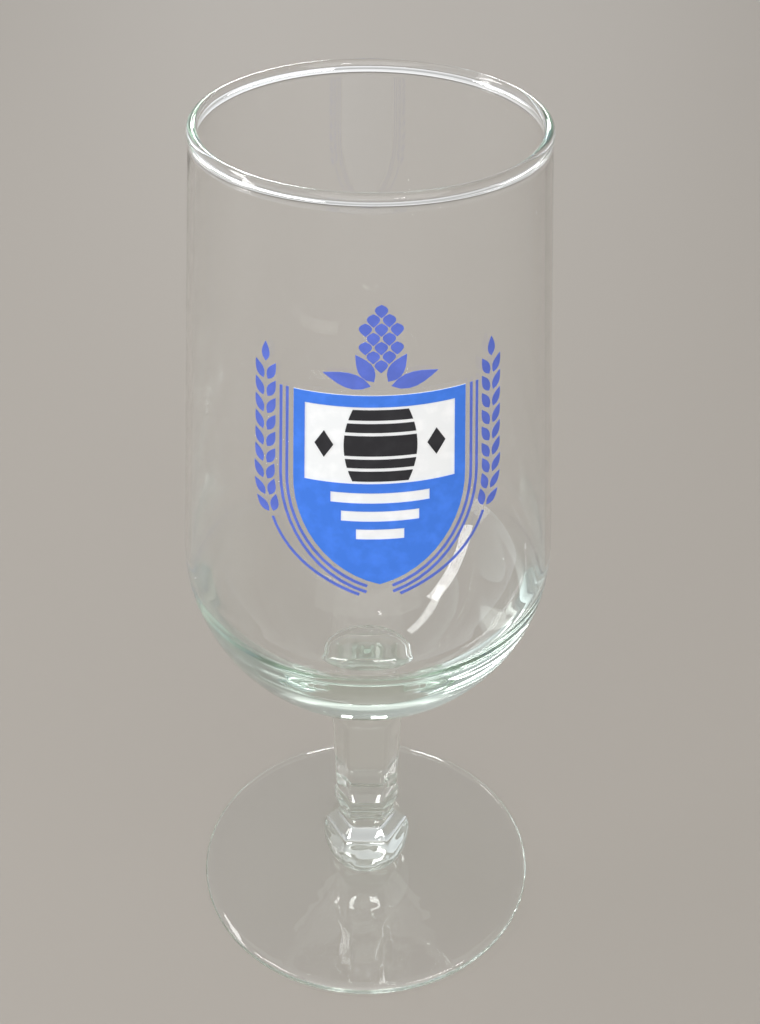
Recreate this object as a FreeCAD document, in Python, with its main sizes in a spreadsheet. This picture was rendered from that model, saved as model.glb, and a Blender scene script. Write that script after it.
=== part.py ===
import FreeCAD, Part
import math
import os

import Sketcher

# Footed beer glass: a bowl with a thick base, a pressed six-sided stem with a knop, and a round foot.
# A fired badge in white, blue and black ink sits on the front of the bowl.
# Millimetres, +Z up. The origin is the middle of the circle that the glass stands on.
# The front of the glass, with the badge, faces -Y.

# driving dimensions
SIZES = {
    # bowl
    "glass_height": 170.0,
    "rim_radius": 28.4,
    "bead_thickness": 1.8,
    "wall_thickness": 1.2,
    "belly_radius": 33.8,
    "belly_height": 89.6,
    "base_thickness": 8.2,
    "floor_flattening": 2.7,
    "corner_radius": 14.5,
    # stem from the bowl down, radii across the corners of its six sides
    "joint_radius": 9.8,
    "flare_length": 11.5,
    "flare_radius": 30.0,
    "scoop_radius": 14.0,
    "shank_top_radius": 7.3,
    "shank_low_radius": 6.5,
    "shank_end_length": 2.0,
    "collar_radius": 6.95,
    "collar_length": 2.4,
    "neck_radius": 5.9,
    "neck_top_length": 3.2,
    "neck_low_length": 2.2,
    "shoulder_radius": 8.3,
    "shoulder_flat_depth": 0.6,
    "knop_radius": 9.15,
    "knop_flat_depth": 0.7,
    "knop_top_length": 4.6,
    "knop_low_length": 4.8,
    "knop_round": 7.0,
    "corner_softness": 0.12,
    # foot
    "foot_radius": 35.15,
    "foot_edge": 2.2,
    "seat_height": 5.4,
    "seat_radius": 7.6,
    "ring_width": 6.0,
    "hollow_height": 1.0,
    # badge
    "badge_drop": 8.4,
    "ink_thickness": 0.12,
    "ink_gap": 0.4,
    "line_width": 0.5,
    "line_spacing": 1.1,
    "shield_width": 28.0,
    "shield_height": 34.0,
    "shield_border": 1.9,
    "cask_width": 11.6,
    "cask_margin": 0.5,
    "stripe_height": 1.9,
    "lozenge_width": 3.0,
    "lozenge_height": 4.6,
    "grain_length": 3.3,
    "grain_width": 1.5,
    "scale_length": 2.1,
    "scale_width": 2.1,
    "leaf_length": 7.8,
    "leaf_width": 2.5,
    # how far a cutting shape runs past what it cuts
    "overrun": 4.0,
}
BADGE_TURN = 3.4  # degrees from the front of the glass towards +X
SIDES = 6  # flat sides of the stem and of its knop

doc = FreeCAD.newDocument("footed_beer_glass")

sheet = doc.addObject("Spreadsheet::Sheet", "Sizes")
for row, (alias, number) in enumerate(SIZES.items(), start=1):
    sheet.set(f"A{row}", alias)
    sheet.set(f"B{row}", str(number))
    sheet.setAlias(f"B{row}", alias)
doc.recompute()


class Measure:
    # a number together with the formula that binds it to the sheet

    def __init__(self, number, formula):
        self.number = number
        self.formula = formula

    def __add__(self, other):
        return Measure(self.number + other.number, f"({self.formula} + {other.formula})")

    def __sub__(self, other):
        return Measure(self.number - other.number, f"({self.formula} - {other.formula})")

    def __mul__(self, other):
        return Measure(self.number * other.number, f"({self.formula} * {other.formula})")

    def __truediv__(self, other):
        return Measure(self.number / other.number, f"({self.formula} / {other.formula})")

    def root(self):
        return Measure(math.sqrt(self.number), f"sqrt({self.formula})")


def size(alias):
    return Measure(SIZES[alias], f"Sizes.{alias}")


def count(number):
    return Measure(float(number), str(number))


ZERO = count(0)
ONE = count(1)
TWO = count(2)
FLAT_SHARE = (count(3) / count(4)).root()  # a hexagon's radius to its flats, of that to its corners


# where the wall of the bowl runs
bead_middle = size("rim_radius") - size("bead_thickness") / TWO
bead_height = size("glass_height") - size("bead_thickness") / TWO
bowl_bottom = size("belly_height") - size("belly_radius")
floor_height = bowl_bottom + size("base_thickness")
floor_radius = size("belly_radius") + size("floor_flattening")
half_wall = size("wall_thickness") / TWO
half_bead = size("bead_thickness") / TWO

# the wall's middle line starts in the bead and ends tangent to the round of the belly
reach = bead_height - size("belly_height")
slant = (bead_middle * bead_middle + reach * reach).root()
near = (size("belly_radius") - half_wall) / slant
far = (ONE - near * near).root()
lean_cos = (bead_middle * near + reach * far) / slant
lean_sin = (reach * near - bead_middle * far) / slant

# the wall leaves the bead where the bead has the wall's thickness
bead_step = (half_bead * half_bead - half_wall * half_wall).root()
outer_top = (
    bead_middle + half_wall * lean_cos + bead_step * lean_sin,
    bead_height + half_wall * lean_sin - bead_step * lean_cos,
)
inner_top = (
    bead_middle - half_wall * lean_cos + bead_step * lean_sin,
    bead_height - half_wall * lean_sin - bead_step * lean_cos,
)
wall_foot = (
    size("belly_radius") * lean_cos,
    size("belly_height") + size("belly_radius") * lean_sin,
)

# the inside corner is tangent to the wall and to the round floor
floor_middle = floor_height + floor_radius
from_floor = floor_radius - size("corner_radius")
track_x = inner_top[0] - size("corner_radius") * lean_cos
track_y = inner_top[1] - size("corner_radius") * lean_sin - floor_middle
along = track_x * lean_sin - track_y * lean_cos
travel = (along * along - track_x * track_x - track_y * track_y + from_floor * from_floor).root() - along
corner_x = track_x + travel * lean_sin
corner_y = track_y + floor_middle - travel * lean_cos
inner_foot = (
    corner_x + size("corner_radius") * lean_cos,
    corner_y + size("corner_radius") * lean_sin,
)
floor_edge = (
    corner_x * floor_radius / from_floor,
    floor_middle + (corner_y - floor_middle) * floor_radius / from_floor,
)

# the stem joins the bowl on a cap of the bowl's round bottom
joint_height = size("belly_height") - (
    size("belly_radius") * size("belly_radius") - size("joint_radius") * size("joint_radius")
).root()
flare_height = joint_height - size("flare_length")

# the rest of the stem stands on the foot
knop_height = size("seat_height") + size("knop_low_length")
shoulder_height = knop_height + size("knop_top_length")
neck_height = shoulder_height + size("neck_low_length")
collar_low_height = neck_height + size("neck_top_length")
collar_top_height = collar_low_height + size("collar_length")
shank_end_height = collar_top_height + size("shank_end_length")
shoulder_flat = size("shoulder_radius") - size("shoulder_flat_depth")
knop_flat = size("knop_radius") - size("knop_flat_depth")


def addProfile(body, name, corners):
    # A closed outline in the body's XZ plane. Each corner is (radius, height, bend), where bend is None
    # for a straight side to the next corner, or ("left" or "right", radius of the arc).
    sketch = body.newObject("Sketcher::SketchObject", name)
    plane = [feature for feature in body.Origin.OriginFeatures if feature.Role == "XZ_Plane"][0]
    sketch.AttachmentSupport = [(plane, "")]
    sketch.MapMode = "FlatFace"
    starts = []
    ends = []
    for index, (x, y, bend) in enumerate(corners):
        next_x, next_y = corners[(index + 1) % len(corners)][:2]
        here = FreeCAD.Vector(x.number, y.number, 0)
        there = FreeCAD.Vector(next_x.number, next_y.number, 0)
        if bend is None:
            geometry = sketch.addGeometry(Part.LineSegment(here, there), False)
            starts.append((geometry, 1))
            ends.append((geometry, 2))
            continue
        side, radius = bend
        chord = there - here
        middle = (here + there) / 2
        lift = math.sqrt(max(radius.number**2 - (chord.Length / 2) ** 2, 0))
        normal = FreeCAD.Vector(-chord.y, chord.x, 0).normalize()
        centre = middle + normal * (lift if side == "left" else -lift)
        first, last = (here, there) if side == "left" else (there, here)
        angles = [math.atan2(point.y - centre.y, point.x - centre.x) for point in (first, last)]
        circle = Part.Circle(centre, FreeCAD.Vector(0, 0, 1), radius.number)
        geometry = sketch.addGeometry(Part.ArcOfCircle(circle, angles[0], angles[1]), False)
        starts.append((geometry, 1 if side == "left" else 2))
        ends.append((geometry, 2 if side == "left" else 1))
        row = sketch.addConstraint(Sketcher.Constraint("Radius", geometry, radius.number))
        sketch.setExpression(f"Constraints[{row}]", radius.formula)
    for index, (x, y, bend) in enumerate(corners):
        sketch.addConstraint(Sketcher.Constraint("Coincident", *ends[index - 1], *starts[index]))
        for kind, place, axis in (("DistanceX", x, -2), ("DistanceY", y, -1)):
            if place is ZERO:
                sketch.addConstraint(Sketcher.Constraint("PointOnObject", *starts[index], axis))
                continue
            row = sketch.addConstraint(Sketcher.Constraint(kind, *starts[index], place.number))
            sketch.setExpression(f"Constraints[{row}]", place.formula)
    return sketch


def turnProfile(body, sketch):
    solid = body.newObject("PartDesign::Revolution", f"{sketch.Name}_turned")
    solid.Profile = sketch
    solid.ReferenceAxis = (sketch, ["V_Axis"])
    solid.Angle = 360
    return solid


# bowl: one blown piece with a fire-polished rim bead and a thick round base
bowl = doc.addObject("PartDesign::Body", "bowl")
bowl.Label = "bowl"
bowl_outline = addProfile(
    bowl,
    "bowl_outline",
    [
        (ZERO, bowl_bottom, ("left", size("belly_radius"))),
        (*wall_foot, None),
        (*outer_top, ("left", half_bead)),
        (bead_middle, size("glass_height"), ("left", half_bead)),
        (*inner_top, None),
        (*inner_foot, ("right", size("corner_radius"))),
        (*floor_edge, ("right", floor_radius)),
        (ZERO, floor_height, None),
    ],
)
turnProfile(bowl, bowl_outline)

# stem: flare, six-sided shank, collar, neck and knop, pressed in one
stem = doc.addObject("PartDesign::Body", "stem")
stem.Label = "stem"
softness = size("corner_softness")
stem_outline = addProfile(
    stem,
    "stem_outline",
    [
        (ZERO, size("seat_height"), None),
        (size("seat_radius"), size("seat_height"), ("left", size("knop_round"))),
        (size("knop_radius"), knop_height, ("left", size("knop_round"))),
        (size("shoulder_radius"), shoulder_height, None),
        (size("neck_radius") - softness, neck_height, None),
        (size("collar_radius") - softness, collar_low_height, None),
        (size("collar_radius") - softness, collar_top_height, None),
        (size("shank_low_radius") - softness, shank_end_height, None),
        (size("shank_top_radius") - softness, flare_height, ("right", size("flare_radius"))),
        (size("joint_radius"), joint_height, ("right", size("belly_radius"))),
        (ZERO, bowl_bottom, None),
    ],
)
turned_stem = turnProfile(stem, stem_outline)

# one flat side, cut along its whole height and then repeated round the stem
cut_reach = size("joint_radius") + size("overrun")
scoop_height = flare_height + (
    size("scoop_radius") * size("scoop_radius")
    - (size("scoop_radius") + size("shank_top_radius") * FLAT_SHARE - size("joint_radius"))
    * (size("scoop_radius") + size("shank_top_radius") * FLAT_SHARE - size("joint_radius"))
).root()
side_outline = addProfile(
    stem,
    "side_outline",
    [
        (knop_flat, size("seat_height"), None),
        (cut_reach, size("seat_height"), None),
        (cut_reach, scoop_height, None),
        (size("joint_radius"), scoop_height, ("left", size("scoop_radius"))),
        (size("shank_top_radius") * FLAT_SHARE, flare_height, None),
        (size("shank_low_radius") * FLAT_SHARE, shank_end_height, None),
        (size("collar_radius") * FLAT_SHARE, collar_top_height, None),
        (size("collar_radius") * FLAT_SHARE, collar_low_height, None),
        (size("neck_radius") * FLAT_SHARE, neck_height, None),
        (shoulder_flat, shoulder_height, None),
        (knop_flat, knop_height, None),
    ],
)
side = stem.newObject("PartDesign::Pocket", "flat_side")
side.Profile = side_outline
side.SideType = "Symmetric"
side.setExpression("Length", (cut_reach * TWO).formula)
sides = stem.newObject("PartDesign::PolarPattern", "six_sides")
sides.Originals = [side]
sides.Axis = (stem_outline, ["V_Axis"])
sides.Angle = 360
sides.Occurrences = SIDES
stem.Tip = sides
stem.Placement = FreeCAD.Placement(
    FreeCAD.Vector(0, 0, 0), FreeCAD.Rotation(FreeCAD.Vector(0, 0, 1), -90)
)

# foot: a thin disc that rises to the stem, with a standing ring round a shallow hollow
foot = doc.addObject("PartDesign::Body", "foot")
foot.Label = "foot"
half_edge = size("foot_edge") / TWO
edge_middle = size("foot_radius") - half_edge
ring_radius = edge_middle - size("ring_width")
hollow_round = (ring_radius * ring_radius + size("hollow_height") * size("hollow_height")) / (
    size("hollow_height") * TWO
)
foot_outline = addProfile(
    foot,
    "foot_outline",
    [
        (ZERO, size("hollow_height"), ("right", hollow_round)),
        (ring_radius, ZERO, None),
        (edge_middle, ZERO, ("left", half_edge)),
        (size("foot_radius"), half_edge, ("left", half_edge)),
        (edge_middle, size("foot_edge"), None),
        (size("seat_radius"), size("seat_height"), None),
        (ZERO, size("seat_height"), None),
    ],
)
turnProfile(foot, foot_outline)
doc.recompute()

# The badge is drawn flat, in places (across, up) from the middle of its shield, and then laid on the bowl.
ink = SIZES["ink_thickness"]
gap = SIZES["ink_gap"]
wall_top = outer_top[1].number
wall_low = wall_foot[1].number
badge_middle = (wall_top + wall_low) / 2 - SIZES["badge_drop"]
lean = math.atan2(lean_sin.number, lean_cos.number)


def wallRadius(height):
    return wall_foot[0].number - (height - wall_low) * math.tan(lean)


middle_radius = wallRadius(badge_middle)


def inkLayer(layer):
    # a thin cone of ink; layer 0 lies on the glass and layer 1 on top of layer 0
    inner = layer * ink / math.cos(lean)
    outer = (layer + 1) * ink / math.cos(lean)
    low = wall_low - SIZES["overrun"]
    high = wall_top + SIZES["overrun"]
    corners = []
    for height, lift in ((low, inner), (low, outer), (high, outer), (high, inner), (low, inner)):
        corners.append(FreeCAD.Vector(wallRadius(height) + lift, 0, height))
    face = Part.Face(Part.makePolygon(corners))
    return face.revolve(FreeCAD.Vector(0, 0, 0), FreeCAD.Vector(0, 0, 1), -180)


def prism(outline):
    # a flat outline pushed back towards the axis from in front of the bowl
    front = -(SIZES["belly_radius"] + SIZES["overrun"])
    points = []
    for across, up in outline:
        height = badge_middle + up
        points.append(
            FreeCAD.Vector(wallRadius(height) * math.sin(across / middle_radius), front, height)
        )
    face = Part.Face(Part.makePolygon(points + points[:1]))
    return face.extrude(FreeCAD.Vector(0, -front, 0))


def printed(layer, outlines, holes=()):
    # every outline laid on the wall as a solid of ink, without what the holes take away
    cuts = [prism(hole) for hole in holes]
    pieces = []
    for outline in outlines:
        shape = prism(outline)
        if cuts:
            shape = shape.cut(cuts)
        pieces += shape.common(layer).Solids
    return pieces


def mirrored(outlines):
    return [[(-across, up) for across, up in reversed(outline)] for outline in outlines]


# a shield with straight sides above and two arcs that meet in a point below
ARC_STEPS = 14
SIDE_STEPS = 5
straight_share = 0.45  # straight part of the sides, of the shield's height
split_share = 0.45  # top of the blue field under the shield's top, of the shield's height

half_shield = SIZES["shield_width"] / 2
shield_top = SIZES["shield_height"] / 2
arc_height = shield_top - SIZES["shield_height"] * straight_share
arc_drop = SIZES["shield_height"] * (1 - straight_share)
arc_radius = (half_shield**2 + arc_drop**2) / (2 * half_shield)
arc_middle = half_shield - arc_radius


def shieldPoint(inset, top, share):
    # a point on the right side, from a height (share 0) down to the point at the bottom (share 1)
    radius = arc_radius - inset
    start = math.asin(max(arc_height - top, 0) / radius)
    arc_length = (math.acos(-arc_middle / radius) - start) * radius
    straight = max(top - arc_height, 0)
    travelled = (straight + arc_length) * share
    if travelled < straight:
        return half_shield - inset, top - travelled
    angle = start + (travelled - straight) / radius
    return arc_middle + radius * math.cos(angle), arc_height - radius * math.sin(angle)


def shieldSide(inset, top):
    steps = ARC_STEPS + SIDE_STEPS
    return [shieldPoint(inset, top, step / steps) for step in range(steps + 1)]


def levelEdge(up, half_width):
    # points along a level edge, from left to right, so that it follows the round of the wall
    return [((2 * step / ARC_STEPS - 1) * half_width, up) for step in range(ARC_STEPS + 1)]


def shield(inset):
    side_points = shieldSide(inset, shield_top - inset)
    other_points = [(-across, up) for across, up in reversed(side_points[:-1])]
    return side_points + other_points + levelEdge(*side_points[0][::-1])[1:-1]


def band(points, width):
    # a line of ink of one width along a chain of points
    left = []
    right = []
    for index, (across, up) in enumerate(points):
        before = points[max(index - 1, 0)]
        after = points[min(index + 1, len(points) - 1)]
        run = math.hypot(after[0] - before[0], after[1] - before[1])
        shift_x = -(after[1] - before[1]) / run * width / 2
        shift_y = (after[0] - before[0]) / run * width / 2
        left.append((across + shift_x, up + shift_y))
        right.append((across - shift_x, up - shift_y))
    return left + right[::-1]


LENS_STEPS = 6
lens_fullness_share = 0.8  # under 1, a lens is widest nearer to its foot


def lens(foot_point, angle, length, width):
    # a pointed leaf, grain or scale that starts at its foot and points along the angle
    points = []
    for side_sign in (1, -1):
        for step in range(LENS_STEPS):
            along_share = step / LENS_STEPS if side_sign == 1 else 1 - step / LENS_STEPS
            reach_out = length * along_share
            spread = side_sign * width / 2 * math.sin(math.pi * along_share**lens_fullness_share)
            points.append(
                (
                    foot_point[0] + reach_out * math.cos(angle) - spread * math.sin(angle),
                    foot_point[1] + reach_out * math.sin(angle) + spread * math.cos(angle),
                )
            )
    return points


def levelBand(low, high, low_half_width, high_half_width):
    # a band with level edges, such as a stripe
    return levelEdge(low, low_half_width) + levelEdge(high, high_half_width)[::-1]


# white ground: the whole shield
white_outlines = [shield(0)]

# blue over the white: the shield again, which leaves the upper field and three stripes white
split_height = shield_top - SIZES["shield_height"] * split_share
white_top = shield_top - SIZES["shield_border"]
white_half = half_shield - SIZES["shield_border"]
white_middle = (white_top + split_height) / 2
cask_height = white_top - split_height - SIZES["cask_margin"] * 2
half_cask = SIZES["cask_width"] / 2
stripe_width_shares = (0.56, 0.44, 0.27)  # of the shield's width
first_stripe_share = 1.35  # first stripe under the top of the field, of a stripe's height
stripe_pitch_share = 1.75  # from stripe to stripe, of a stripe's height
half_stripe = SIZES["stripe_height"] / 2
white_holes = [levelBand(split_height, white_top, white_half, white_half)]
for index, width_share in enumerate(stripe_width_shares):
    up = split_height - SIZES["stripe_height"] * (first_stripe_share + stripe_pitch_share * index)
    half_width = half_shield * width_share
    white_holes.append(levelBand(up - half_stripe, up + half_stripe, half_width, half_width))

# black over the white: a cask with hoops, and a lozenge on each side of it
STAVE_STEPS = 4
cask_end_share = 0.76  # width of the cask at its ends, of its width at the middle
stave_shares = ((0.0, 0.14), (0.19, 0.31), (0.36, 0.64), (0.69, 0.81), (0.86, 1.0))


def stave(low_share, high_share):
    side_points = []
    for step in range(STAVE_STEPS + 1):
        share = low_share + (high_share - low_share) * step / STAVE_STEPS
        bulge = 1 - (1 - cask_end_share) * (2 * share - 1) ** 2
        up = white_middle + cask_height * (share - 1 / 2)
        side_points.append((half_cask * bulge, up))
    return side_points + [(-across, up) for across, up in reversed(side_points)]


lozenge_across = (half_cask + white_half) / 2
lozenge = [
    (lozenge_across - SIZES["lozenge_width"] / 2, white_middle),
    (lozenge_across, white_middle - SIZES["lozenge_height"] / 2),
    (lozenge_across + SIZES["lozenge_width"] / 2, white_middle),
    (lozenge_across, white_middle + SIZES["lozenge_height"] / 2),
]
black_outlines = [stave(*shares) for shares in stave_shares] + [lozenge] + mirrored([lozenge])

# blue straight on the glass: two lines round the shield
LINES = 2
line_end_share = 0.95  # where a line stops short of the point under the shield, of its length
line_outlines = []
for number in range(LINES):
    outset = SIZES["line_spacing"] * (number + 1)
    steps = ARC_STEPS + SIDE_STEPS
    line = [shieldPoint(-outset, shield_top, line_end_share * step / steps) for step in range(steps + 1)]
    line_outlines.append(band(line, SIZES["line_width"]))
line_outlines += mirrored(line_outlines)

# an ear of barley beside each side of the shield, on a stalk that starts under it
GRAIN_PAIRS = 9
grain_tilt = math.radians(27)
ear_length_share = 0.55  # the ear, of the way from its tip to the foot of the stalk
stalk_end_share = 0.93  # where the stalk starts, of the way down round the shield
short_step_share = 0.02  # from point to point where the stalk's direction is measured
stalk_outset = SIZES["line_spacing"] * LINES + SIZES["line_width"] + gap
grain_reach = SIZES["grain_length"] * math.sin(grain_tilt) + SIZES["grain_width"] / 2
ear_outset = SIZES["line_spacing"] * LINES + SIZES["line_width"] / 2 + gap + grain_reach
ear_top = shield_top + SIZES["grain_length"]


def stalkPoint(share):
    # share 0 is the tip of the ear and share 1 the foot of the stalk
    below = max(share - ear_length_share, 0) / (1 - ear_length_share)
    outset = ear_outset + (stalk_outset - ear_outset) * (1 - math.cos(math.pi * below)) / 2
    return shieldPoint(-outset, ear_top, share * stalk_end_share)


def stalkAngle(share):
    low = stalkPoint(share + short_step_share)
    high = stalkPoint(max(share - short_step_share, 0))
    return math.atan2(high[1] - low[1], high[0] - low[0])


stalk_start = ear_length_share + short_step_share
stalk = []
for step in range(ARC_STEPS + 1):
    stalk.append(stalkPoint(stalk_start + (1 - stalk_start) * step / ARC_STEPS))
ear_outlines = [band(stalk, SIZES["line_width"])]
for pair in range(GRAIN_PAIRS):
    share = ear_length_share * (pair + 1) / GRAIN_PAIRS
    middle = stalkPoint(share)
    heading = stalkAngle(share)
    for side_sign in (-1, 1):
        root = (
            middle[0] - side_sign * gap * math.sin(heading),
            middle[1] + side_sign * gap * math.cos(heading),
        )
        tilt = heading + side_sign * grain_tilt
        ear_outlines.append(lens(root, tilt, SIZES["grain_length"], SIZES["grain_width"]))
tip_heading = stalkAngle(0)
tip = stalkPoint(0)
ear_outlines.append(lens(tip, tip_heading, SIZES["grain_length"], SIZES["grain_width"]))
ear_outlines += mirrored(ear_outlines)

# a hop cone over the shield, with two leaves on each side
cone_rows = (1, 2, 3, 2, 3, 2, 1)
row_pitch_share = 0.7  # from row to row, of a scale's length
cone_lift_share = 1.5  # foot of the cone over the shield, of a leaf's width
cone_height = SIZES["scale_length"] * (row_pitch_share * (len(cone_rows) - 1) + 1)
cone_top = shield_top + SIZES["leaf_width"] * cone_lift_share + cone_height
cone_outlines = []
for row, scales in enumerate(cone_rows):
    row_height = cone_top - SIZES["scale_length"] * row_pitch_share * row
    for number in range(scales):
        across = (number - (scales - 1) / 2) * (SIZES["scale_width"] + gap)
        place = (across, row_height)
        cone_outlines.append(lens(place, -math.pi / 2, SIZES["scale_length"], SIZES["scale_width"]))
leaf_angles = (math.radians(14), math.radians(56))
leaf_shares = (1.0, 0.68)  # length of each leaf, of the largest
leaf_step = SIZES["leaf_width"] / 2  # from the root of the leaves to the foot of each
leaf_outlines = []
for angle, share in zip(leaf_angles, leaf_shares):
    leaf_foot = (
        leaf_step * math.cos(angle) + gap,
        shield_top + leaf_step * (1 + math.sin(angle)),
    )
    leaf_outlines.append(lens(leaf_foot, angle, SIZES["leaf_length"] * share, SIZES["leaf_width"]))
leaf_outlines += mirrored(leaf_outlines)

glass_layer = inkLayer(0)
top_layer = inkLayer(1)
blue_lines = printed(glass_layer, line_outlines + ear_outlines + cone_outlines + leaf_outlines)
PRINTS = {
    "print_white_ground": printed(glass_layer, white_outlines),
    "print_blue_field": printed(top_layer, [shield(0)], white_holes),
    "print_blue_linework": blue_lines,
    "print_black_motif": printed(top_layer, black_outlines),
}
badge_place = FreeCAD.Placement(
    FreeCAD.Vector(0, 0, 0), FreeCAD.Rotation(FreeCAD.Vector(0, 0, 1), BADGE_TURN)
)
nodes = [bowl, stem, foot]
for label, solids in PRINTS.items():
    feature = doc.addObject("Part::Feature", label)
    feature.Label = label
    feature.Shape = Part.makeCompound(solids)
    feature.Placement = badge_place
    nodes.append(feature)

# nothing is written unless every object has worked
doc.recompute()
for item in doc.Objects:
    if "Invalid" in item.State or "Error" in item.State:
        raise RuntimeError(f"{item.Name} failed: {item.State}")
os.makedirs("parts", exist_ok=True)
for node in nodes:
    if node.Shape.isNull() or not node.Shape.isValid():
        raise RuntimeError(f"{node.Label} has no valid shape")
for node in nodes:
    node.Shape.exportStep(f"parts/{node.Label}.step")
    box_size = node.Shape.BoundBox
    print(
        node.Label, len(node.Shape.Solids), "solids", round(node.Shape.Volume, 2), "mm3",
        round(box_size.XLength, 2), round(box_size.YLength, 2), round(box_size.ZLength, 2),
    )
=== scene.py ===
import math

import bpy
from mathutils import Matrix, Quaternion, Vector


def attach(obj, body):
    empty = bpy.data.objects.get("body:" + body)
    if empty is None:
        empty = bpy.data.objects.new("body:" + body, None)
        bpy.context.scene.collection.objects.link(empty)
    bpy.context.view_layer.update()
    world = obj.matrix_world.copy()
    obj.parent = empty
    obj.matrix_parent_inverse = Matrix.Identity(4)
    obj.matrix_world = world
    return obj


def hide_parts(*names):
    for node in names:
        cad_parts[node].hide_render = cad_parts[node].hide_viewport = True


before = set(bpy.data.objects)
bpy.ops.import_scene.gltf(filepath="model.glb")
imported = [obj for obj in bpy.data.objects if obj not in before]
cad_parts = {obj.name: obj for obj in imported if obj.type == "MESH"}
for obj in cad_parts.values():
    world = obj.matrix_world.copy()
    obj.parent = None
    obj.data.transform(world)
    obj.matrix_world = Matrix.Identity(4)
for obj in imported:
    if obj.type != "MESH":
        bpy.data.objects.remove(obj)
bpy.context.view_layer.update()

# A footed beer glass: blown bowl, pressed six-sided stem and round foot, with a fired badge.
# The dictionaries of the pieces are in millimetres and degrees, those of the finishes and
# of the studio in metres and degrees.
mm = 0.001
print("frame loaded:", sorted(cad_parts))


class Value:
    # one output of a node, so that maths on it can be written out
    def __init__(self, finish, socket):
        self.finish = finish
        self.socket = socket

    def maths(self, operation, first, second):
        return self.finish.node("ShaderNodeMath", {"operation": operation}, {0: first, 1: second})

    def __add__(self, other):
        return self.maths("ADD", self, other)

    def __radd__(self, other):
        return self.maths("ADD", other, self)

    def __sub__(self, other):
        return self.maths("SUBTRACT", self, other)

    def __rsub__(self, other):
        return self.maths("SUBTRACT", other, self)

    def __mul__(self, other):
        return self.maths("MULTIPLY", self, other)

    def __rmul__(self, other):
        return self.maths("MULTIPLY", other, self)

    def __truediv__(self, other):
        return self.maths("DIVIDE", self, other)

    def __rtruediv__(self, other):
        return self.maths("DIVIDE", other, self)

    def __lt__(self, other):
        return self.maths("LESS_THAN", self, other)

    def __gt__(self, other):
        return self.maths("GREATER_THAN", self, other)


class Finish:
    # a material, or the room's light, while it is put together
    def __init__(self, name, holders="materials", output="ShaderNodeOutputMaterial"):
        self.holder = getattr(bpy.data, holders).new(name)
        self.holder.use_nodes = True
        self.tree = self.holder.node_tree
        self.tree.nodes.clear()
        self.output = self.tree.nodes.new(output)

    def node(self, kind, settings, values, give=0):
        # settings go on the node first, then values or links into its sockets
        made = self.tree.nodes.new(kind)
        for key, setting in settings.items():
            if key == "stops":
                self.setStops(made.color_ramp, setting)
            else:
                setattr(made, key, setting)
        for key, value in values.items():
            if isinstance(value, Value):
                self.tree.links.new(value.socket, made.inputs[key])
            else:
                made.inputs[key].default_value = value
        return Value(self, made.outputs[give])

    def setStops(self, ramp, stops):
        while len(ramp.elements) < len(stops):
            ramp.elements.new(1.0)
        for element, (place, shade) in zip(ramp.elements, stops):
            element.position = place
            element.color = (shade, shade, shade, 1.0)

    def mixed(self, share, first, second):
        # two colours; a Mix node keeps its colour sockets at 6 and 7, and gives the mix at 2
        values = {"Factor": share, 6: first, 7: second}
        return self.node("ShaderNodeMix", {"data_type": "RGBA"}, values, 2)

    def done(self, surface, volume=None):
        self.tree.links.new(surface.socket, self.output.inputs["Surface"])
        if volume is not None:
            self.tree.links.new(volume.socket, self.output.inputs["Volume"])
        return self.holder


clearGlass = {
    "ior": 1.52,
    "tint": (0.64, 0.83, 0.68, 1.0),  # colour that a long way through the glass leaves
    "tintDensity": 7.8,  # per metre
    "through": (0.958, 0.958, 0.958, 1.0),  # what one face leaves of a lamp's light
    "smudgeRoughness": 0.035,
    "smudgeScale": 55.0,
    "smudgeDetail": 4.0,
    "smudgeStops": ((0.52, 0.0), (0.75, 1.0)),
    "speckSpacing": 0.0085,
    "speckRadius": 0.00026,
    "speckShare": 0.55,  # cells of the pattern that hold a speck
    "dustColour": (0.96, 0.95, 0.93, 1.0),
    "dustRoughness": 0.9,
}
# ripples left by the making: their length along the glass and round it, and their depth
blownRipple = {"along": 0.060, "round": 0.012, "depth": 0.00003}
pressedRipple = {"along": 0.007, "round": 0.005, "depth": 0.00006}


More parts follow.
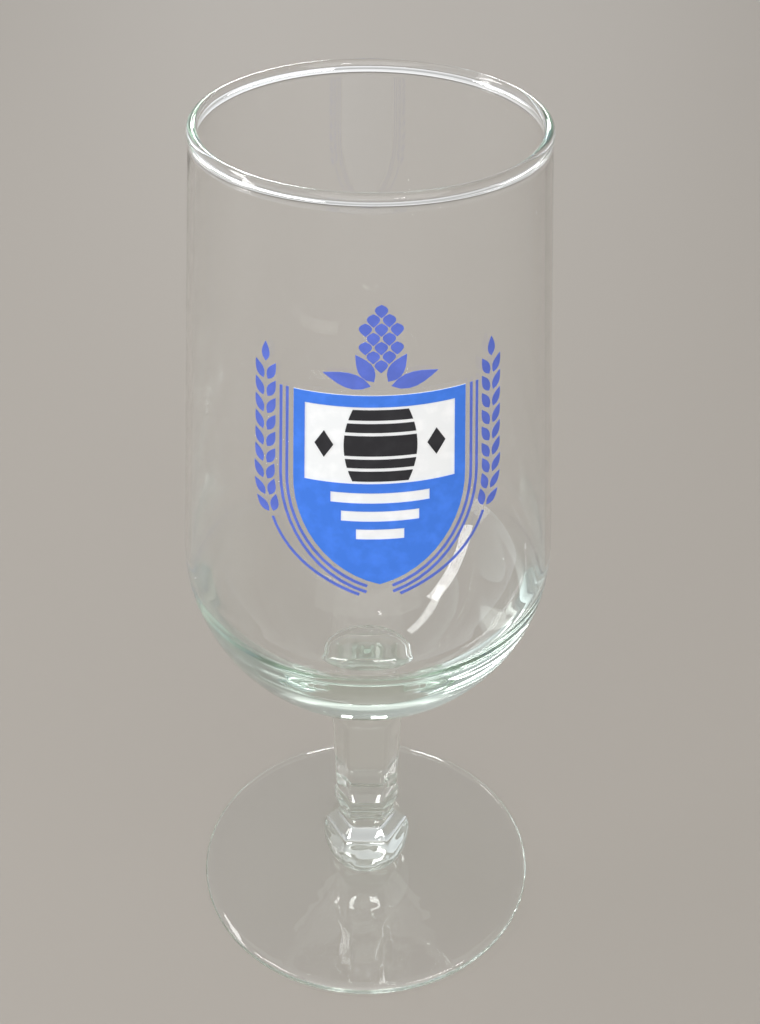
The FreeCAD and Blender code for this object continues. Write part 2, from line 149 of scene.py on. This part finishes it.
def glassFinish(name, look, ripple):
    finish = Finish(name)
    place = finish.node("ShaderNodeTexCoord", {}, {}, "Object")
    stretch = (1 / ripple["round"], 1 / ripple["round"], 1 / ripple["along"])
    wavePlace = finish.node("ShaderNodeMapping", {}, {"Vector": place, "Scale": stretch})
    wave = finish.node("ShaderNodeTexNoise", {}, {"Vector": wavePlace, "Scale": 1.0, "Detail": 1.0})
    bump = finish.node(
        "ShaderNodeBump", {}, {"Strength": 1.0, "Distance": ripple["depth"], "Height": wave}
    )
    smudge = finish.node(
        "ShaderNodeTexNoise",
        {},
        {"Vector": place, "Scale": look["smudgeScale"], "Detail": look["smudgeDetail"]},
    )
    smudgeMask = finish.node("ShaderNodeValToRGB", {"stops": look["smudgeStops"]}, {"Fac": smudge})
    fused = finish.node("ShaderNodeAttribute", {"attribute_name": "fused"}, {}, "Fac")
    clear = finish.node(
        "ShaderNodeBsdfPrincipled",
        {},
        {
            "Base Color": (1.0, 1.0, 1.0, 1.0),
            "Roughness": smudgeMask * look["smudgeRoughness"],
            "IOR": look["ior"],
            "Transmission Weight": 1.0,
            "Alpha": 1 - fused,
            "Normal": bump,
        },
    )
    # sparse specks of dust that lie on the glass
    scale = 1 / look["speckSpacing"]
    cells = {"Vector": place, "Scale": scale, "Randomness": 1.0}
    distance = finish.node("ShaderNodeTexVoronoi", {}, cells, "Distance")
    cellColour = finish.node("ShaderNodeTexVoronoi", {}, cells, "Color")
    chance = finish.node("ShaderNodeSeparateColor", {}, {"Color": cellColour}, "Red")
    speckSize = chance * look["speckRadius"] * scale / look["speckShare"]
    speck = (distance < speckSize) * (chance < look["speckShare"]) * (1 - fused)
    dust = finish.node(
        "ShaderNodeBsdfPrincipled",
        {},
        {"Base Color": look["dustColour"], "Roughness": look["dustRoughness"]},
    )
    dusty = finish.node("ShaderNodeMixShader", {}, {0: speck, 1: clear, 2: dust})
    # lamps and the room shine through the glass instead of leaving it in its own shadow
    through = finish.node("ShaderNodeBsdfTransparent", {}, {"Color": look["through"]})
    diffuseRay = finish.node("ShaderNodeLightPath", {}, {}, "Is Diffuse Ray")
    shadowRay = finish.node("ShaderNodeLightPath", {}, {}, "Is Shadow Ray")
    roomLit = finish.node("ShaderNodeMixShader", {}, {0: diffuseRay, 1: dusty, 2: through})
    surface = finish.node("ShaderNodeMixShader", {}, {0: shadowRay, 1: roomLit, 2: through})
    inside = finish.node(
        "ShaderNodeVolumeAbsorption", {}, {"Color": look["tint"], "Density": look["tintDensity"]}
    )
    return finish.done(surface, inside)


blownGlass = glassFinish("blownGlass", clearGlass, blownRipple)
pressedGlass = glassFinish("pressedGlass", clearGlass, pressedRipple)
print("glass finishes made")


# outlines are lists of (radius, height), from which rings round the glass's axis are made
def arc(middle, radius, start, end, steps):
    # angles in radians, from the direction away from the axis
    points = []
    for step in range(steps + 1):
        angle = start + (end - start) * step / steps
        points.append((middle[0] + radius * math.cos(angle), middle[1] + radius * math.sin(angle)))
    return points


def straight(start, end, steps):
    points = []
    for step in range(steps + 1):
        share = step / steps
        points.append(
            (start[0] + (end[0] - start[0]) * share, start[1] + (end[1] - start[1]) * share)
        )
    return points


def chained(*stretches):
    # one outline from stretches, without the points that two of them share
    points = []
    for stretch in stretches:
        for point in stretch:
            if not points or math.dist(points[-1], point) > 1e-6:
                points.append(point)
    return points


def ringOf(radius, height, sides):
    points = []
    for side in range(sides):
        angle = 2 * math.pi * side / sides
        points.append((radius * math.cos(angle), radius * math.sin(angle), height))
    return points


def pole(height):
    return [(0.0, 0.0, height)]


def ringPiece(name, rings, fusedSpans, material, nodeName):
    # a closed piece from rings in order, between a pole at each end
    # fusedSpans are the spans from ring to ring that lie hidden in a fused joint
    vertices = []
    starts = []
    for ring in rings:
        starts.append(len(vertices))
        vertices += [(x * mm, y * mm, z * mm) for x, y, z in ring]
    faces = []
    fused = []
    for index in range(len(rings) - 1):
        low, high = rings[index], rings[index + 1]
        sides = max(len(low), len(high))
        for side in range(sides):
            other = (side + 1) % sides
            if len(low) == 1:
                face = (starts[index], starts[index + 1] + other, starts[index + 1] + side)
            elif len(high) == 1:
                face = (starts[index] + side, starts[index] + other, starts[index + 1])
            else:
                face = (
                    starts[index] + side,
                    starts[index] + other,
                    starts[index + 1] + other,
                    starts[index + 1] + side,
                )
            faces.append(face)
            fused.append(1.0 if index in fusedSpans else 0.0)
    mesh = bpy.data.meshes.new(name)
    mesh.from_pydata(vertices, [], faces)
    mesh.materials.append(material)
    mesh.polygons.foreach_set("use_smooth", [True] * len(faces))
    mark = mesh.attributes.new("fused", "FLOAT", "FACE")
    mark.data.foreach_set("value", fused)
    mesh.validate()
    mesh.update()
    piece = bpy.data.objects.new(name, mesh)
    bpy.context.scene.collection.objects.link(piece)
    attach(piece, "root")
    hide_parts(nodeName)
    print(name, "made with", len(faces), "faces")
    return piece


bowl = {
    "height": 170.0,
    "rimRadius": 28.4,
    "beadThickness": 1.8,
    "wallThickness": 1.2,
    "bellyRadius": 33.8,
    "bellyHeight": 89.6,
    "floorHeight": 64.0,
    "floorRadius": 36.5,
    "cornerRadius": 14.5,
    "inkBed": 0.02,  # how far the wall takes in the back of the ink
    "inkBedPower": 8,  # how sharply that ends at the rim and at the belly
    "sides": 288,
    "bottomSteps": 6,
    "bellySteps": 90,
    "beadSteps": 28,
    "wallSteps": 48,
    "insideSteps": 40,  # in the corner, and again in the floor
}
jointRadius = 9.8  # the stem is fused to the bottom of the bowl within it
fuseGap = 0.03  # between the two hidden faces of a fused joint


def underBowl(radius):
    # height of the bowl's round bottom
    return bowl["bellyHeight"] - math.sqrt(bowl["bellyRadius"] ** 2 - radius**2)


def bowlOutline(size):
    # the bottom inside the joint, and the rest up the outside, over the rim and down the inside
    halfWall = size["wallThickness"] / 2
    halfBead = size["beadThickness"] / 2
    beadMiddle = (size["rimRadius"] - halfBead, size["height"] - halfBead)
    bellyMiddle = (0.0, size["bellyHeight"])
    # the wall's middle line starts in the bead and is tangent to the belly
    reach = beadMiddle[1] - size["bellyHeight"]
    slant = math.hypot(beadMiddle[0], reach)
    near = (size["bellyRadius"] - halfWall) / slant
    far = math.sqrt(1 - near**2)
    lean = math.atan2(reach * near - beadMiddle[0] * far, beadMiddle[0] * near + reach * far)
    innerLine = (
        beadMiddle[0] - halfWall * math.cos(lean),
        beadMiddle[1] - halfWall * math.sin(lean),
    )
    # the inside corner is tangent to the wall and to the round floor
    floorMiddle = (0.0, size["floorHeight"] + size["floorRadius"])
    corner = size["cornerRadius"]
    trackX = innerLine[0] - corner * math.cos(lean)
    trackY = innerLine[1] - corner * math.sin(lean) - floorMiddle[1]
    along = trackX * math.sin(lean) - trackY * math.cos(lean)
    fromFloor = size["floorRadius"] - corner
    travel = math.sqrt(along**2 - trackX**2 - trackY**2 + fromFloor**2) - along
    cornerMiddle = (
        trackX + travel * math.sin(lean),
        trackY + floorMiddle[1] - travel * math.cos(lean),
    )
    cornerTurn = math.atan2(cornerMiddle[1] - floorMiddle[1], cornerMiddle[0])
    jointTurn = -math.acos(jointRadius / size["bellyRadius"])
    beadTurn = math.acos(halfWall / halfBead)
    beadStart, beadEnd = lean - beadTurn, lean + math.pi + beadTurn

    bottom = arc(bellyMiddle, size["bellyRadius"], -math.pi / 2, jointTurn, size["bottomSteps"])
    belly = arc(bellyMiddle, size["bellyRadius"], jointTurn, lean, size["bellySteps"])
    bead = arc(beadMiddle, halfBead, beadStart, beadEnd, size["beadSteps"])
    outerWall = []
    for radius, height in straight(belly[-1], bead[0], size["wallSteps"]):
        share = (height - belly[-1][1]) / (bead[0][1] - belly[-1][1])
        bed = size["inkBed"] * (1 - (2 * share - 1) ** size["inkBedPower"])
        outerWall.append((radius + bed, height))
    cornerArc = arc(cornerMiddle, corner, lean, cornerTurn, size["insideSteps"])
    innerWall = straight(bead[-1], cornerArc[0], size["wallSteps"])
    floor = arc(floorMiddle, size["floorRadius"], cornerTurn, -math.pi / 2, size["insideSteps"])
    return bottom, chained(belly, outerWall, bead, innerWall, cornerArc, floor)


bottom, rest = bowlOutline(bowl)
rings = [pole(bottom[0][1])]
rings += [ringOf(radius, height, bowl["sides"]) for radius, height in bottom[1:]]
fusedSpans = set(range(len(bottom) - 1))
rings += [ringOf(radius, height, bowl["sides"]) for radius, height in rest[1:-1]]
rings.append(pole(rest[-1][1]))
ringPiece("blown_bowl", rings, fusedSpans, blownGlass, "bowl")


stem = {
    "flats": 6,
    "flareLength": 11.5,
    "flareRadius": 30.0,
    "scoopRadius": 1.7,  # the lip where each flat ends under the flare
    "scoopStart": 46.1,
    "flatAway": 1.3,  # above the lip the flats keep outside the flare, as a share of the joint
    "flatRise": 0.2,  # and reach that over this height
    "shankTop": 7.3,  # from here down, radii are to the corners and heights over the table
    "shankLow": 6.5,
    "shankEnd": 24.4,
    "collar": 6.95,
    "collarTop": 23.4,
    "collarLow": 21.0,
    "neck": 5.9,
    "neckHeight": 17.0,
    "shoulder": 8.3,
    "shoulderFlat": 7.7,  # to the middle of a flat
    "shoulderHeight": 14.8,
    "knop": 9.15,
    "knopFlat": 8.45,
    "knopHeight": 10.2,
    "knopRound": 7.0,
    "seat": 7.6,
    "seatHeight": 5.4,
    "softness": 0.12,  # how far the corners of the shank and the collar are taken in
    "edgeRound": 0.45,  # how far the edge between two sides is melted round
    "heightRound": 0.20,  # the same along the height
    "knopEdgeRound": 0.95,
    "knopHeightRound": 0.60,
    "knopBlend": 3.0,  # height over which the knop's melting takes over, under the collar
    "leastRound": 0.001,
    "seatFade": 1.0,  # heights over which the melting fades out at the two ends
    "jointFade": 2.0,
    "weldBead": 0.28,  # the uneven bead where the stem was fused on
    "weldDrop": 0.75,
    "weldReach": 0.4,
    "weldWaves": ((0.5, 3, 1.0), (0.3, 8, 0.0)),  # depth, number round the stem, start
    "seatShares": (0.35, 0.7),  # rings on the hidden seat, as shares of its radius
    "capShares": (0.8, 0.6, 0.4, 0.2),  # and on the hidden cap under the bowl
    "sides": 288,
    "step": 0.16,
    "knopSteps": 16,
    "flareSteps": 24,
    "scoopSteps": 20,
}


def bulge(start, end, radius, outward, steps):
    # an arc between two places that rise; outward bulges away from the axis
    run = (end[0] - start[0], end[1] - start[1])
    chord = math.hypot(*run)
    lift = math.sqrt(radius**2 - chord**2 / 4) * (-1 if outward else 1)
    middle = (
        (start[0] + end[0]) / 2 + run[1] / chord * lift,
        (start[1] + end[1]) / 2 - run[0] / chord * lift,
    )
    turns = [math.atan2(y - middle[1], x - middle[0]) for x, y in (start, end)]
    if not outward:
        turns = [turn % (2 * math.pi) for turn in turns]
    return arc(middle, radius, turns[0], turns[1], steps)


def stemOutlines(size):
    # the round outline that the corners follow, and the one that the flats cut into it
    soft = size["softness"]
    flatShare = math.cos(math.pi / size["flats"])
    joint = (jointRadius, underBowl(jointRadius))
    shank = (size["shankTop"] - soft, joint[1] - size["flareLength"])
    flatTop = size["shankTop"] * flatShare
    scoopLow = (flatTop, size["scoopStart"])
    scoopTop = (flatTop + size["scoopRadius"], size["scoopStart"] + size["scoopRadius"])
    outside = jointRadius * size["flatAway"]
    seat = (size["seat"], size["seatHeight"])
    knop = (size["knop"], size["knopHeight"])
    shoulder = (size["shoulder"], size["shoulderHeight"])
    turned = chained(
        bulge(seat, knop, size["knopRound"], True, size["knopSteps"]),
        bulge(knop, shoulder, size["knopRound"], True, size["knopSteps"]),
        [
            (size["neck"] - soft, size["neckHeight"]),
            (size["collar"] - soft, size["collarLow"]),
            (size["collar"] - soft, size["collarTop"]),
            (size["shankLow"] - soft, size["shankEnd"]),
        ],
        bulge(shank, joint, size["flareRadius"], False, size["flareSteps"]),
    )
    flats = chained(
        [
            (size["knopFlat"], size["seatHeight"]),
            (size["knopFlat"], size["knopHeight"]),
            (size["shoulderFlat"], size["shoulderHeight"]),
            (size["neck"] * flatShare, size["neckHeight"]),
            (size["collar"] * flatShare, size["collarLow"]),
            (size["collar"] * flatShare, size["collarTop"]),
            (size["shankLow"] * flatShare, size["shankEnd"]),
        ],
        bulge(scoopLow, scoopTop, size["scoopRadius"], False, size["scoopSteps"]),
        [(outside, scoopTop[1] + size["flatRise"]), (outside, joint[1])],
    )
    return turned, flats


def radiusAt(points, height):
    for (low, lowHeight), (high, highHeight) in zip(points, points[1:]):
        if height <= highHeight:
            share = (height - lowHeight) / (highHeight - lowHeight)
            return low + (high - low) * max(share, 0.0)
    return points[-1][0]


softSteps = 3  # samples to each reach


def softened(points, height, reach):
    # the outline's radius, averaged over a short stretch of height
    total = 0.0
    weights = 0.0
    for step in range(-2 * softSteps, 2 * softSteps + 1):
        offset = step / softSteps
        place = min(max(height + reach * offset, points[0][1]), points[-1][1])
        weight = math.exp(-(offset**2))
        total += radiusAt(points, place) * weight
        weights += weight
    return total / weights


def meltedMin(first, second, reach):
    # the smaller of two radii, with the edge between them melted round
    near = max(reach - abs(first - second), 0.0) / reach
    return min(first, second) - near**2 * reach / 4


def stemRings(size):
    turned, flats = stemOutlines(size)
    low, high = turned[0][1], turned[-1][1]
    levels = round((high - low) / size["step"])
    sector = 2 * math.pi / size["flats"]
    rings = []
    for level in range(levels + 1):
        height = low + (high - low) * (level / levels)
        # the ends meet their neighbours exactly
        fade = min((height - low) / size["seatFade"], (high - height) / size["jointFade"], 1.0)
        knopShare = min(max((size["collarLow"] - height) / size["knopBlend"], 0.0), 1.0)
        heightMelt = (
            size["heightRound"] + (size["knopHeightRound"] - size["heightRound"]) * knopShare
        )
        heightMelt = max(heightMelt * fade, size["leastRound"])
        edgeMelt = size["edgeRound"] + (size["knopEdgeRound"] - size["edgeRound"]) * knopShare
        outer = softened(turned, height, heightMelt)
        flat = softened(flats, height, heightMelt)
        fromBead = (high - height - size["weldDrop"]) / size["weldReach"]
        bead = size["weldBead"] * math.exp(-(fromBead**2))
        ring = []
        for side in range(size["sides"]):
            angle = 2 * math.pi * side / size["sides"]
            uneven = 1.0
            for depth, number, start in size["weldWaves"]:
                uneven += depth * math.sin(number * angle + start)
            # one flat side faces the front
            fromFlat = (angle + math.pi / 2 + sector / 2) % sector - sector / 2
            radius = meltedMin(outer, flat / math.cos(fromFlat), edgeMelt) + bead * uneven
            ring.append((radius * math.cos(angle), radius * math.sin(angle), height))
        rings.append(ring)
    return rings


sideRings = stemRings(stem)
rings = [pole(stem["seatHeight"])]
for share in stem["seatShares"]:
    rings.append(ringOf(stem["seat"] * share, stem["seatHeight"], stem["sides"]))
firstSide = len(rings)
rings += sideRings
lastSide = len(rings) - 1
for share in stem["capShares"]:
    radius = jointRadius * share
    rings.append(ringOf(radius, underBowl(radius) - fuseGap, stem["sides"]))
rings.append(pole(underBowl(0.0) - fuseGap))
fusedSpans = set(range(firstSide)) | set(range(lastSide, len(rings) - 1))
ringPiece("pressed_stem", rings, fusedSpans, pressedGlass, "stem")


foot = {
    "radius": 35.15,
    "edge": 2.2,
    "edgeReach": 2.2,  # how far the upper half of the edge is melted in over the face
    "edgeTurn": 80.0,
    "ringWidth": 6.0,
    "hollow": 1.0,
    "dish": 0.25,  # how far the upper face sinks between edge and stem
    "sides": 288,
    "hollowSteps": 24,
    "soleSteps": 6,
    "edgeSteps": 12,
    "meltSteps": 24,
    "faceSteps": 40,
}


def footOutline(size):
    # from the middle of the hollow underneath, round the edge, up to the stem
    halfEdge = size["edge"] / 2
    edgeMiddle = (size["radius"] - halfEdge, halfEdge)
    ringRadius = edgeMiddle[0] - size["ringWidth"]
    hollow = []
    for step in range(size["hollowSteps"] + 1):
        share = step / size["hollowSteps"]
        hollow.append((ringRadius * share, size["hollow"] * (1 - share**2)))
    sole = straight((ringRadius, 0.0), (edgeMiddle[0], 0.0), size["soleSteps"])
    lowerEdge = arc(edgeMiddle, halfEdge, -math.pi / 2, 0.0, size["edgeSteps"])
    upperEdge = []
    for step in range(size["meltSteps"] + 1):
        turn = math.radians(size["edgeTurn"]) * step / size["meltSteps"]
        radius = size["radius"] - size["edgeReach"] * (1 - math.cos(turn))
        upperEdge.append((radius, halfEdge + halfEdge * math.sin(turn)))
    faceStart, faceEnd = upperEdge[-1], (stem["seat"], stem["seatHeight"])
    face = []
    for radius, height in straight(faceStart, faceEnd, size["faceSteps"]):
        share = (faceStart[0] - radius) / (faceStart[0] - faceEnd[0])
        face.append((radius, height - size["dish"] * math.sin(math.pi * share)))
    return chained(hollow, sole, lowerEdge, upperEdge, face)


outline = footOutline(foot)
rings = [pole(outline[0][1])]
rings += [ringOf(radius, height, foot["sides"]) for radius, height in outline[1:]]
lastFace = len(rings) - 1
for share in reversed(stem["seatShares"]):
    rings.append(ringOf(stem["seat"] * share, stem["seatHeight"] - fuseGap, foot["sides"]))
rings.append(pole(stem["seatHeight"] - fuseGap))
fusedSpans = set(range(lastFace, len(rings) - 1))
ringPiece("round_foot", rings, fusedSpans, pressedGlass, "foot")


# the fired inks keep the frame's own solids
inks = {
    "print_white_ground": {"colour": (0.87, 0.885, 0.89), "roughness": 0.38, "alpha": 1.0},
    "print_blue_field": {"colour": (0.045, 0.19, 0.75), "roughness": 0.36, "alpha": 1.0},
    "print_blue_linework": {"colour": (0.10, 0.16, 0.62), "roughness": 0.42, "alpha": 0.9},
    "print_black_motif": {"colour": (0.012, 0.012, 0.016), "roughness": 0.34, "alpha": 1.0},
}
inkTexture = {
    "ior": 1.5,
    "mottleScale": 420.0,  # of the clouds in which the ink lies thicker and thinner
    "mottleDetail": 5.0,
    "grainScale": 2600.0,
    "grainDetail": 2.0,
    "grainStrength": 0.5,
    "grainDepth": 0.00001,
    "thinStops": ((0.45, 0.0), (0.72, 1.0)),
    "thinShare": 0.6,
    "thinLighter": 1.25,
    "thinLift": 0.012,
    "mottleRoughness": 0.16,
}


def inkFinish(name, look, texture):
    finish = Finish(name)
    place = finish.node("ShaderNodeTexCoord", {}, {}, "Object")
    mottle = finish.node(
        "ShaderNodeTexNoise",
        {},
        {"Vector": place, "Scale": texture["mottleScale"], "Detail": texture["mottleDetail"]},
    )
    grain = finish.node(
        "ShaderNodeTexNoise",
        {},
        {"Vector": place, "Scale": texture["grainScale"], "Detail": texture["grainDetail"]},
    )
    full = (*look["colour"], 1.0)
    lighter, lift = texture["thinLighter"], texture["thinLift"]
    thin = (*[min(part * lighter + lift, 1.0) for part in look["colour"]], 1.0)
    thinness = finish.node("ShaderNodeValToRGB", {"stops": texture["thinStops"]}, {"Fac": mottle})
    bump = finish.node(
        "ShaderNodeBump",
        {},
        {"Strength": texture["grainStrength"], "Distance": texture["grainDepth"], "Height": grain},
    )
    surface = finish.node(
        "ShaderNodeBsdfPrincipled",
        {},
        {
            "Base Color": finish.mixed(thinness * texture["thinShare"], full, thin),
            "Roughness": look["roughness"] + mottle * texture["mottleRoughness"],
            "IOR": texture["ior"],
            "Alpha": look["alpha"],
            "Normal": bump,
        },
    )
    return finish.done(surface)


for nodeName, look in inks.items():
    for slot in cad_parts[nodeName].material_slots:
        slot.material = inkFinish("ink_" + nodeName, look, inkTexture)
print("inks set")


studio = {
    "floorRadius": 3.6,
    "floorDrop": 0.00005,  # keeps the floor off the face of the foot that stands on it
    "floorSides": 96,
    "floorColour": (0.335, 0.306, 0.272, 1.0),
    "floorRoughness": 0.6,
    "windowSide": (0.88, 0.94, 1.0, 1.0),  # the room's light from the left
    "farSide": (1.0, 0.95, 0.90, 1.0),
    "roomDim": 0.33,
    "roomLevel": 1.15,  # how much brighter the walls are at the height of the glass
    "roomFar": 0.15,  # the far side's part of that, and the window's side's
    "roomNear": 0.85,
    "roomLeft": 0.30,  # how much brighter the whole window's side is
    "bounces": 96,  # a ray is turned back many times in the thick base and the stem
    "middle": 0.085,  # height that the softboxes face
}
# a softbox stands at a bearing from straight behind the glass, clockwise from above, and at
# a rise over the table; turn spins it round its own middle, and one that is not seen
# through the glass still lights the ink and the floor, and shines on the glass
softboxes = {
    "window_left": {
        "bearing": -79.0, "rise": 41.8, "away": 0.95, "size": (0.13, 0.72), "glow": 10.0,
        "turn": 54.0,
    },
    "sill_left": {"bearing": -98.0, "rise": 11.0, "away": 0.95, "size": (0.22, 0.34), "glow": 2.2},
    "window_front": {
        "bearing": 162.0, "rise": 34.0, "away": 1.2, "size": (0.13, 0.20), "glow": 9.0,
        "seenThrough": False,
    },
    "panel_front": {
        "bearing": 172.0, "rise": 40.0, "away": 1.3, "size": (1.7, 1.6), "glow": 1.6,
        "seenThrough": False,
    },
    "window_far": {"bearing": -5.5, "rise": 20.5, "away": 1.6, "size": (0.18, 0.20), "glow": 22.0},
    "window_far_right": {
        "bearing": 9.0, "rise": 20.5, "away": 1.6, "size": (0.13, 0.20), "glow": 22.0,
    },
    "lamp_back": {"bearing": -13.0, "rise": 64.0, "away": 1.5, "size": (0.035, 0.09), "glow": 9.0},
    "ceiling": {"bearing": 0.0, "rise": 88.0, "away": 1.7, "size": (1.7, 1.7), "glow": 0.6},
}

floorRing = ringOf(studio["floorRadius"], -studio["floorDrop"], studio["floorSides"])
floorMesh = bpy.data.meshes.new("studio_floor")
floorMesh.from_pydata(floorRing, [], [tuple(range(studio["floorSides"]))])
floor = bpy.data.objects.new("studio_floor", floorMesh)
bpy.context.scene.collection.objects.link(floor)
floorFinish = Finish("pale_floor")
floorSurface = floorFinish.node(
    "ShaderNodeBsdfPrincipled",
    {},
    {"Base Color": studio["floorColour"], "Roughness": studio["floorRoughness"]},
)
floorMesh.materials.append(floorFinish.done(floorSurface))

room = Finish("studio_room", "worlds", "ShaderNodeOutputWorld")
outward = room.node("ShaderNodeTexCoord", {}, {}, "Generated")
sideways = room.node("ShaderNodeSeparateXYZ", {}, {"Vector": outward}, "X")
upward = room.node("ShaderNodeSeparateXYZ", {}, {"Vector": outward}, "Z")
leftward = 0.5 - sideways * 0.5  # 1 towards the window, 0 away from it
tone = room.mixed(leftward, studio["farSide"], studio["windowSide"])
below = 1 - upward
wallShare = studio["roomFar"] + leftward * studio["roomNear"]
wallGlow = below * below * below * wallShare * studio["roomLevel"]
strength = studio["roomDim"] + wallGlow + leftward * leftward * studio["roomLeft"]
glow = room.node("ShaderNodeBackground", {}, {"Color": tone, "Strength": strength})
bpy.context.scene.world = room.done(glow)

glassMiddle = Vector((0.0, 0.0, studio["middle"]))
for name, box in softboxes.items():
    bearing, rise = math.radians(box["bearing"]), math.radians(box["rise"])
    way = Vector(
        (math.sin(bearing) * math.cos(rise), math.cos(bearing) * math.cos(rise), math.sin(rise))
    )
    lamp = bpy.data.lights.new(name, "AREA")
    lamp.shape = "RECTANGLE"
    lamp.size, lamp.size_y = box["size"]
    lamp.energy = box["glow"] * math.pi * lamp.size * lamp.size_y
    holder = bpy.data.objects.new(name, lamp)
    holder.location = glassMiddle + way * box["away"]
    spin = Quaternion((0.0, 0.0, 1.0), math.radians(box.get("turn", 0.0)))
    holder.rotation_euler = (way.to_track_quat("Z", "Y") @ spin).to_euler()
    holder.visible_camera = False
    holder.visible_transmission = box.get("seenThrough", True)
    bpy.context.scene.collection.objects.link(holder)
bpy.context.scene.view_settings.view_transform = "Standard"
for kind in ("max_bounces", "glossy_bounces", "transmission_bounces", "transparent_max_bounces"):
    setattr(bpy.context.scene.cycles, kind, studio["bounces"])

view = {
    "back": 0.21991,  # in front of the glass's axis
    "up": 0.25497,
    "pitch": 35.97,  # downwards
    "yaw": 0.56,
    "roll": -0.69,
    "lens": 52.09,  # millimetres
    "clip": 0.01,
}
pitch, yaw, roll = (math.radians(view[key]) for key in ("pitch", "yaw", "roll"))
forward = Vector(
    (math.sin(yaw) * math.cos(pitch), math.cos(yaw) * math.cos(pitch), -math.sin(pitch))
)
level = Vector((math.cos(yaw), -math.sin(yaw), 0.0))
steep = forward.cross(level)
across = level * math.cos(roll) + steep * math.sin(roll)
down = steep * math.cos(roll) - level * math.sin(roll)
camera = bpy.data.objects.new("camera", bpy.data.cameras.new("camera"))
camera.data.lens = view["lens"]
camera.data.clip_start = view["clip"]
camera.matrix_world = Matrix.Translation((0.0, -view["back"], view["up"])) @ (
    Matrix((across, -down, -forward)).transposed().to_4x4()
)
bpy.context.scene.collection.objects.link(camera)
bpy.context.scene.camera = camera
print("studio set")
